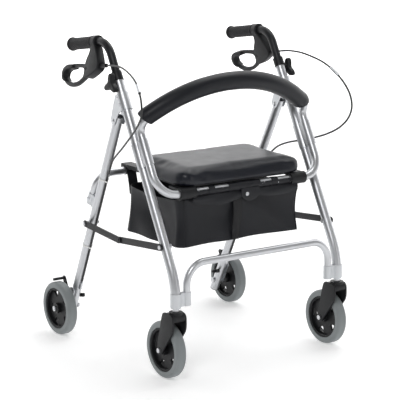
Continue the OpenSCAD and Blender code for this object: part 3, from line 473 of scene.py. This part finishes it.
# Brake housings, levers, knobs and caster forks: moulded nylon, so every edge has a radius.
TO_GRIP = (Matrix.Translation((0.270, 0.68 * math.sin(math.radians(28)) - 0.297,
                               0.68 * math.cos(math.radians(28)) + 0.260))
           @ Matrix.Rotation(math.radians(-8), 4, "X"))
TO_BRAKE = TO_GRIP @ Matrix.Rotation(math.radians(-14), 4, "Y")
TO_KNOB = (Matrix.Translation((0.270, -0.297, 0.260)) @ Matrix.Rotation(math.radians(-28), 4, "X")
           @ Matrix.Translation((0, 0, 0.557)))
ALONG_X = Matrix.Rotation(math.radians(90), 4, "Z") @ Matrix.Rotation(math.radians(90), 4, "X")


def eased(points, rounds=3):
    """A closed outline with its corners cut again and again until they are round."""
    for _ in range(rounds):
        points = [tuple(a * (1 - t) + b * t for a, b in zip(p, q))
                  for p, q in zip(points, points[1:] + points[:1]) for t in (0.2, 0.8)]
    return points


def moulded(name, outlines, low, high, radius, place, sign):
    """Outlines in millimetres in the YZ plane, the later ones holes, from low to high along X, all edges rounded."""
    curve = bpy.data.curves.new(name, "CURVE")
    curve.dimensions = "2D"
    curve.fill_mode = "BOTH"
    for outline in outlines:
        spline = curve.splines.new("POLY")
        spline.points.add(len(outline) - 1)
        for point, (y, z) in zip(spline.points, outline):
            point.co = (y / 1000, z / 1000, 0, 1)
        spline.use_cyclic_u = True
    curve.extrude = (high - low) / 2000 - radius / 1000
    curve.bevel_depth = radius / 1000
    curve.offset = -radius / 1000
    curve.bevel_resolution = 3
    piece = bpy.data.objects.new(name, curve)
    bpy.context.scene.collection.objects.link(piece)
    bpy.ops.object.select_all(action="DESELECT")
    piece.select_set(True)
    bpy.context.view_layer.objects.active = piece
    bpy.ops.object.convert(target="MESH")
    piece = bpy.context.object
    piece.data.transform(Matrix.Diagonal((sign, 1, 1, 1)) @ place @ Matrix.Translation(((low + high) / 2000, 0, 0))
                         @ ALONG_X)
    if sign < 0:
        piece.data.flip_normals()
    weld = piece.modifiers.new("weld", "WELD")
    weld.merge_threshold = 0.00002
    bpy.ops.object.modifier_apply(modifier="weld")
    bpy.ops.object.shade_smooth_by_angle(angle=math.radians(50))
    piece.data.materials.clear()
    piece.data.materials.append(nylon.material)
    return piece


def joined(name, pieces):
    bpy.ops.object.select_all(action="DESELECT")
    for piece in pieces:
        piece.select_set(True)
    bpy.context.view_layer.objects.active = pieces[0]
    bpy.ops.object.join()
    bpy.context.object.name = name
    return bpy.context.object


def collar(name, y0, y1, r, bore, place, sign, bulge=0.0):
    """A ring round the grip's axis."""
    line = [place @ Vector((0, y0 + (y1 - y0) * k / 12, 0)) for k in range(13)]
    line = [Vector((p.x * sign, p.y, p.z)) for p in line]
    return tube(name, line, r, nylon, sides=40,
                taper=lambda t: r - 0.0016 * (1 - min(1, min(t, 1 - t) / 0.12)) ** 2 + bulge * math.sin(math.pi * t))


HOUSING = eased([(43, -9), (67, -9), (68, -30), (78, -44), (84, -60), (85, -84), (74, -101), (48, -93), (16, -77),
                 (14, -60), (27, -36)])
LEVER = eased([(66, -64), (90, -59), (140, -56), (180, -58), (199, -65), (207, -80), (202, -98), (184, -112),
               (158, -121), (122, -118), (66, -90)])
LEVER_HOLE = eased([(96, -70), (140, -66), (176, -69), (190, -76), (194, -84), (188, -96), (160, -109),
                    (122, -107), (96, -94)])
FINGER_PAD = eased([(150, -70), (180, -72), (193, -80), (192, -92), (182, -99), (186, -106), (203, -97), (207, -80),
                    (199, -65), (180, -58), (150, -58)], 2)
TO_CASTER = Matrix.Translation((0.270, -0.297, 0))
FORK_ARM = eased([(-18, 184), (-19, 140), (-1, 116), (32, 73), (38, 66), (46, 63), (54, 67), (58, 77), (54, 90),
                  (38, 158), (31, 180), (22, 185)], 2)
FORK_CROWN = eased([(-18, 160), (33, 160), (28, 178), (21, 184), (-18, 184)], 2)
for side, sign in SIDES.items():
    body = moulded("housing_body", [HOUSING], -13, 13, 3.5, TO_BRAKE, sign)
    ring_part = collar("housing_collar", 0.043, 0.0664, 0.0178, 0.0115, TO_BRAKE, sign)
    nose = tube("housing_nose", [Vector((p.x * sign, p.y, p.z)) for p in
                                 (TO_BRAKE @ Vector((0, y / 1000, -0.067)) for y in (-12, -11, -4, 4, 14, 20))],
                0.0055, nylon, sides=24)
    screw = tube("housing_pin", [Vector((p.x * sign, p.y, p.z)) for p in
                                 (TO_BRAKE @ Vector((x / 1000, 0.076, -0.074)) for x in (-14, -13.5, 13.5, 14))],
                 0.0042, nylon, sides=24)
    housing = joined("housing_" + side, [body, ring_part, nose, screw])
    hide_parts("brake_housing_" + side)
    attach(housing, "handle_" + side)
    blade = moulded("lever_blade", [LEVER, LEVER_HOLE], -5.8, 5.8, 2.4, TO_BRAKE, sign)
    finger = moulded("lever_finger", [FINGER_PAD], -12, 12, 3.0, TO_BRAKE, sign)
    lever = joined("lever_cover_" + side, [blade, finger])
    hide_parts("brake_lever_" + side)
    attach(lever, "lever_" + side)
    arms = [moulded("fork_arm", [FORK_ARM], low, low + 5, 1.6, TO_CASTER, sign) for low in (-22.5, 17.5)]
    crown = moulded("fork_crown", [FORK_CROWN], -19.5, 19.5, 3.5, TO_CASTER, sign)
    race = tube("fork_race", [Vector((sign * 0.270, -0.297, z)) for z in (0.1795, 0.180, 0.1872, 0.188)], 0.018,
                nylon, sides=48)
    fork = joined("fork_" + side, arms + [crown, race])
    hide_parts("caster_fork_" + side)
    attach(fork, "caster_" + side)
    lobes = []
    for k in range(90):
        a = 2 * math.pi * k / 90
        r = 19.2 + 9.0 * math.cos(3 * a) + 1.6 * math.cos(6 * a)
        lobes.append((r * math.cos(a), r * math.sin(a)))
    star = moulded("knob_star", [lobes], 17.7, 32.7, 3.0, TO_KNOB, sign)
    boss = tube("knob_boss", [Vector((p.x * sign, p.y, p.z)) for p in
                              (TO_KNOB @ Vector((x / 1000, 0, 0)) for x in (13.2, 13.6, 18.6, 19))],
                0.008, nylon, sides=32)
    knob = joined("knob_cover_" + side, [star, boss])
    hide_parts("knob_" + side)
    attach(knob, "knob_" + side)

# Grips: soft black rubber pushed over the posts, ringed where the fingers close.
rubber = Finish("grip_rubber", (0.008, 0.008, 0.010), 0.60, specular_ior_level=0.3)
rings = rubber.bands(190.0, "Y", rubber.stretched((1, 1, 1), (math.radians(8), 0, 0)))
rubber.rough(0.52 + 0.2 * rubber.noise(60.0))
rubber.color(rubber.noise(30.0), (0.005, 0.005, 0.006), (0.012, 0.012, 0.014))
rubber.bump(rings * 0.8 + rubber.noise(700.0) * 0.2, 0.35, 0.0008)
dress(rubber, "grip")

# Bag: black coated nylon, sewn from panels and hung from both cross tubes. Its front hem wraps the seat tube,
# its sides sag inwards, and a flap with a webbing strap and a snap closes its front.
cloth_black = Finish("bag_nylon", (0.007, 0.0075, 0.010), 0.48, specular_ior_level=0.35)
warp = cloth_black.bands(900.0, "X") * 0.5 + cloth_black.bands(900.0, "Z") * 0.5
cloth_black.rough(0.40 + 0.22 * cloth_black.noise(24.0))
cloth_black.color(cloth_black.noise(12.0), (0.004, 0.0045, 0.007), (0.009, 0.010, 0.014))
cloth_black.bump(warp * 0.5 + cloth_black.noise(90.0) * 0.5, 0.12, 0.0006)
BAG_FRONT, BAG_BACK, BAG_HALF, BAG_TOP, BAG_LOW = -0.2225, 0.0615, 0.205, 0.458, 0.330


def bag_point(u, v):
    """A point of the bag's wall: u runs round it from the middle of the front, v from the bottom 0 to the top 1."""
    corner = 0.030
    straight_x, straight_y = BAG_HALF - corner, (BAG_BACK - BAG_FRONT) / 2 - corner
    arc = corner * math.pi / 2
    total = 4 * straight_x + 4 * straight_y + 4 * arc
    s = (u % 1.0) * total
    middle_y = (BAG_FRONT + BAG_BACK) / 2
    for length, kind in ((straight_x, 0), (arc, 1), (2 * straight_y, 2), (arc, 3), (2 * straight_x, 4), (arc, 5),
                         (2 * straight_y, 6), (arc, 7), (straight_x, 8)):
        if s <= length:
            break
        s -= length
    t = s / corner
    x, y = {0: lambda: (s, BAG_FRONT),
            1: lambda: (straight_x + corner * math.sin(t), BAG_FRONT + corner * (1 - math.cos(t))),
            2: lambda: (BAG_HALF, BAG_FRONT + corner + s),
            3: lambda: (straight_x + corner * math.cos(t), BAG_BACK - corner * (1 - math.sin(t))),
            4: lambda: (straight_x - s, BAG_BACK),
            5: lambda: (-straight_x - corner * math.sin(t), BAG_BACK - corner * (1 - math.cos(t))),
            6: lambda: (-BAG_HALF, BAG_BACK - corner - s),
            7: lambda: (-straight_x - corner * math.cos(t), BAG_FRONT + corner * (1 - math.sin(t))),
            8: lambda: (-straight_x + s, BAG_FRONT)}[kind]()
    slack = math.sin(math.pi * v) ** 1.2
    along_side = 1 - abs((y - middle_y) / ((BAG_BACK - BAG_FRONT) / 2)) ** 2
    along_front = 1 - abs(x / BAG_HALF) ** 2
    folds = 0.0030 * math.sin(7 * v + 31 * u) + 0.0022 * math.sin(57 * u + 5 * v)
    if kind in (1, 2, 3, 5, 6, 7):
        x -= math.copysign(slack * (0.010 * along_side + 0.004) + (0.006 + folds) * along_side * (1 - 0.6 * v), x)
    if kind in (0, 1, 7, 8, 3, 4, 5):
        outward = -1 if y < middle_y else 1
        bulge = slack * 0.004 * along_front - folds * along_front - 0.004 * slack
        y += outward * (bulge - 0.003)
    rear = max(0.0, (y - middle_y) / ((BAG_BACK - BAG_FRONT) / 2))
    x *= 1 - 0.09 * (v * rear) ** 2
    pull = 0.004 * (1 - v) * math.cos(2 * math.pi * x / 0.41) if abs(x) < BAG_HALF else 0
    z = BAG_LOW + v * (BAG_TOP - BAG_LOW) + 0.004 * (1 - v) * along_front - abs(pull) * 0.2
    if v > 0.9:
        z -= (v - 0.9) * 10 * 0.006 * along_side * (1 if kind in (2, 6) else 0)
    return Vector((x, y, z))


bag_mesh = bmesh.new()
ROUND, UP = 180, 22
walls = [[bag_mesh.verts.new(bag_point(i / ROUND, j / UP)) for i in range(ROUND)] for j in range(UP + 1)]
for j in range(UP):
    for i in range(ROUND):
        k = (i + 1) % ROUND
        bag_mesh.faces.new((walls[j][i], walls[j][k], walls[j + 1][k], walls[j + 1][i]))
ring = walls[0]
BOTTOM_RINGS = 10
centre = Vector((0, (BAG_FRONT + BAG_BACK) / 2, BAG_LOW + 0.002))
for j in range(1, BOTTOM_RINGS):
    t = j / BOTTOM_RINGS
    inner = []
    for v in walls[0]:
        p = v.co.lerp(centre, t)
        p.z += 0.0025 * math.sin(math.pi * min(1, t * 1.4)) * math.sin(23 * p.x + 31 * p.y) - 0.0005
        p.z = max(p.z, BAG_LOW)
        inner.append(bag_mesh.verts.new(p))
    for i in range(ROUND):
        k = (i + 1) % ROUND
        bag_mesh.faces.new((ring[k], ring[i], inner[i], inner[k]))
    ring = inner
bag_mesh.faces.new(list(reversed(ring)))
bag_data = bpy.data.meshes.new("bag_shell")
bag_mesh.to_mesh(bag_data)
bag_mesh.free()
bag = bpy.data.objects.new("bag_shell", bag_data)
bpy.context.scene.collection.objects.link(bag)
bag_data.materials.append(cloth_black.material)
bpy.ops.object.select_all(action="DESELECT")
bag.select_set(True)
bpy.context.view_layer.objects.active = bag
wall = bag.modifiers.new("wall", "SOLIDIFY")
wall.thickness = 0.0015
wall.offset = -1
bpy.ops.object.modifier_apply(modifier="wall")
bpy.ops.object.shade_smooth_by_angle(angle=math.radians(40))
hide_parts("bag")
piping = []
for corner_u in (0.1415, 0.8585):
    seam = [bag_point(corner_u, k / 24) for k in range(25)]
    seam = [Vector((p.x * 1.002, p.y - 0.0006, p.z)) for p in seam]
    piping.append(tube("bag_piping", seam, 0.0014, cloth_black, sides=10))
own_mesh(bag)
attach(bag, "front_frame")
for seam in piping:
    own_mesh(seam)
    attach(seam, "front_frame")


def cloth_piece(name, mesh, finish, thickness, offset):
    """Makes a grid of cloth an object, gives it a wall, and points its faces outwards."""
    data = bpy.data.meshes.new(name)
    mesh.to_mesh(data)
    mesh.free()
    piece = bpy.data.objects.new(name, data)
    bpy.context.scene.collection.objects.link(piece)
    data.materials.append(finish.material)
    bpy.ops.object.select_all(action="DESELECT")
    piece.select_set(True)
    bpy.context.view_layer.objects.active = piece
    wall = piece.modifiers.new("wall", "SOLIDIFY")
    wall.thickness = thickness
    wall.offset = offset
    bpy.ops.object.modifier_apply(modifier="wall")
    bpy.ops.object.mode_set(mode="EDIT")
    bpy.ops.mesh.select_all(action="SELECT")
    bpy.ops.mesh.normals_make_consistent(inside=False)
    bpy.ops.object.mode_set(mode="OBJECT")
    bpy.ops.object.shade_smooth_by_angle(angle=math.radians(50))
    return piece


def hem_sleeve(name, x0, x1, start, end, radius, centre, thickness=0.0016):
    """Cloth wrapped round a cross tube between two angles, counted from straight up towards the front."""
    mesh = bmesh.new()
    steps = max(6, int(abs(end - start) / math.radians(8)))
    columns = max(2, int((x1 - x0) / 0.006))
    grid = []
    for i in range(columns + 1):
        x = x0 + (x1 - x0) * i / columns
        row = []
        for j in range(steps + 1):
            a = start + (end - start) * j / steps
            r = radius + 0.0007 * math.sin(160 * x + 3 * a) * math.sin(71 * x)
            row.append(mesh.verts.new((x, centre[0] - r * math.sin(a), centre[1] + r * math.cos(a))))
        grid.append(row)
    for i in range(columns):
        for j in range(steps):
            mesh.faces.new((grid[i][j], grid[i + 1][j], grid[i + 1][j + 1], grid[i][j + 1]))
    return cloth_piece(name, mesh, cloth_black, thickness, 1)


TUBE = (SEAT_AXIS.y, SEAT_AXIS.z)
TUBE_R = 0.0111
hem = hem_sleeve("bag_hem", -0.156, 0.156, math.radians(62), math.radians(215), TUBE_R + 0.0006, TUBE)
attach(hem, "front_frame")
for index, (x0, x1) in enumerate(((-0.117, -0.097), (-0.052, 0.053), (0.091, 0.112))):
    loop = hem_sleeve(f"bag_loop_{index}", x0, x1, math.radians(-150), math.radians(208), TUBE_R + 0.0012, TUBE)
    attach(loop, "front_frame")


def hanging_panel(name, columns, rows, shape, finish, thickness=0.0014):
    """A cloth panel: shape(s, t) gives the point at s across and t down."""
    mesh = bmesh.new()
    grid = [[mesh.verts.new(shape(i / columns, j / rows)) for j in range(rows + 1)] for i in range(columns + 1)]
    for i in range(columns):
        for j in range(rows):
            mesh.faces.new((grid[i][j], grid[i][j + 1], grid[i + 1][j + 1], grid[i + 1][j]))
    return cloth_piece(name, mesh, finish, thickness, 0)


FLAP_TOP_Y, FLAP_TOP_Z = TUBE[0] - TUBE_R * 0.55, TUBE[1] - TUBE_R - 0.0006


def flap_shape(s, t):
    """The hem's loose front: its lower edge hangs in two shallow scallops, one each side of the strap."""
    x = -0.170 + 0.350 * s
    scallop = 0.013 + 0.017 * abs(math.sin(math.pi * min(1, max(0, (x + 0.172) / 0.178)))) if x < 0.006 else \
        0.012 + 0.024 * math.sin(math.pi * min(1, (x - 0.006) / 0.30)) ** 1.2 * (1 - 0.55 * (x - 0.006) / 0.174)
    drop = scallop * t
    belly = 0.0035 * math.sin(math.pi * t) + 0.0015 * t + 0.0008 * math.sin(40 * x + 5 * t)
    return Vector((x, FLAP_TOP_Y - 0.0012 - belly, FLAP_TOP_Z - drop))


flap = hanging_panel("bag_flap", 90, 10, flap_shape, cloth_black)
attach(flap, "front_frame")


def wall_join(s, t):
    """The front wall above the shell's rim, up to the tube."""
    x = -0.172 + 0.344 * s
    return Vector((x, (1 - t) * (TUBE[0] - 0.002) + t * (BAG_FRONT + 0.0015),
                   (1 - t) * (TUBE[1] - TUBE_R - 0.001) + t * (BAG_TOP - 0.006)))


join = hanging_panel("bag_front_top", 60, 4, wall_join, cloth_black)
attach(join, "front_frame")

# Strap: 25 mm black webbing from the seat tube down the middle of the bag's front, sewn on at its foot,
# with a press stud on the tab beside it.
webbing = Finish("black_webbing", (0.012, 0.012, 0.014), 0.6, specular_ior_level=0.4)
ribs = webbing.bands(420.0, "Z")
webbing.rough(0.5 + 0.2 * webbing.noise(60.0))
webbing.color(ribs, (0.004, 0.004, 0.005), (0.010, 0.010, 0.012))
webbing.bump(ribs, 0.5, 0.0006)


def strap_shape(s, t):
    width = 0.030 - 0.008 * t
    x = -0.022 - 0.006 * t + (s - 0.5) * width
    z = TUBE[1] - TUBE_R - 0.001 - t * (TUBE[1] - TUBE_R - 0.001 - 0.3345)
    y = BAG_FRONT - 0.0040 - 0.0038 * math.sin(math.pi * min(1, t * 1.15)) + 0.0010 * math.sin(11 * t)
    return Vector((x, y - 0.0008 * math.cos(math.pi * (s - 0.5)), z))


strap = hanging_panel("bag_strap", 8, 40, strap_shape, webbing, 0.0018)
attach(strap, "front_frame")


def tab_shape(s, t):
    half = 0.031 * (1 - 0.35 * max(0, t - 0.55) ** 1.5 / 0.3)
    x = 0.018 + (2 * s - 1) * half
    return Vector((x, FLAP_TOP_Y - 0.0056 - 0.0015 * math.sin(math.pi * t), FLAP_TOP_Z + 0.006 - 0.030 * t
                   - 0.006 * t * (1 - (2 * s - 1) ** 2)))


tab = hanging_panel("bag_tab", 16, 10, tab_shape, cloth_black, 0.0018)
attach(tab, "front_frame")

bpy.ops.object.select_all(action="DESELECT")
bpy.ops.mesh.primitive_uv_sphere_add(segments=32, ring_count=16, radius=0.0055)
stud = bpy.context.object
stud.name = "bag_stud"
stud.data.transform(Matrix.Translation((0.006, FLAP_TOP_Y - 0.0075, 0.4555)) @ Matrix.Diagonal((1, 0.45, 1, 1)))
bpy.ops.object.shade_smooth()
stud.data.materials.append(zinc.material)
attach(stud, "front_frame")

# Rear straps of the bag: webbing loops under the rear cross tube at its rests, sewn to the bag's rear corners.
REAR_TUBE = (0.085, 0.490)
for side, sign in SIDES.items():
    x0, x1 = sorted((sign * 0.152, sign * 0.181))
    loop = hem_sleeve("bag_rear_loop_" + side, x0, x1, math.radians(80), math.radians(262), TUBE_R + 0.0008,
                      REAR_TUBE, 0.002)

    def rear_strap(s, t, x0=x0, x1=x1):
        return Vector((x0 + (x1 - x0) * s, (1 - t) * (REAR_TUBE[0] - 0.0125) + t * (BAG_BACK - 0.0032)
                       - 0.002 * math.sin(math.pi * t),
                       (1 - t) * (REAR_TUBE[1] - 0.0015) + t * (BAG_TOP - 0.030)))

    band = hanging_panel("bag_rear_strap_" + side, 6, 14, rear_strap, cloth_black, 0.002)
    for piece in (loop, band):
        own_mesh(piece)
        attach(piece, "front_frame")
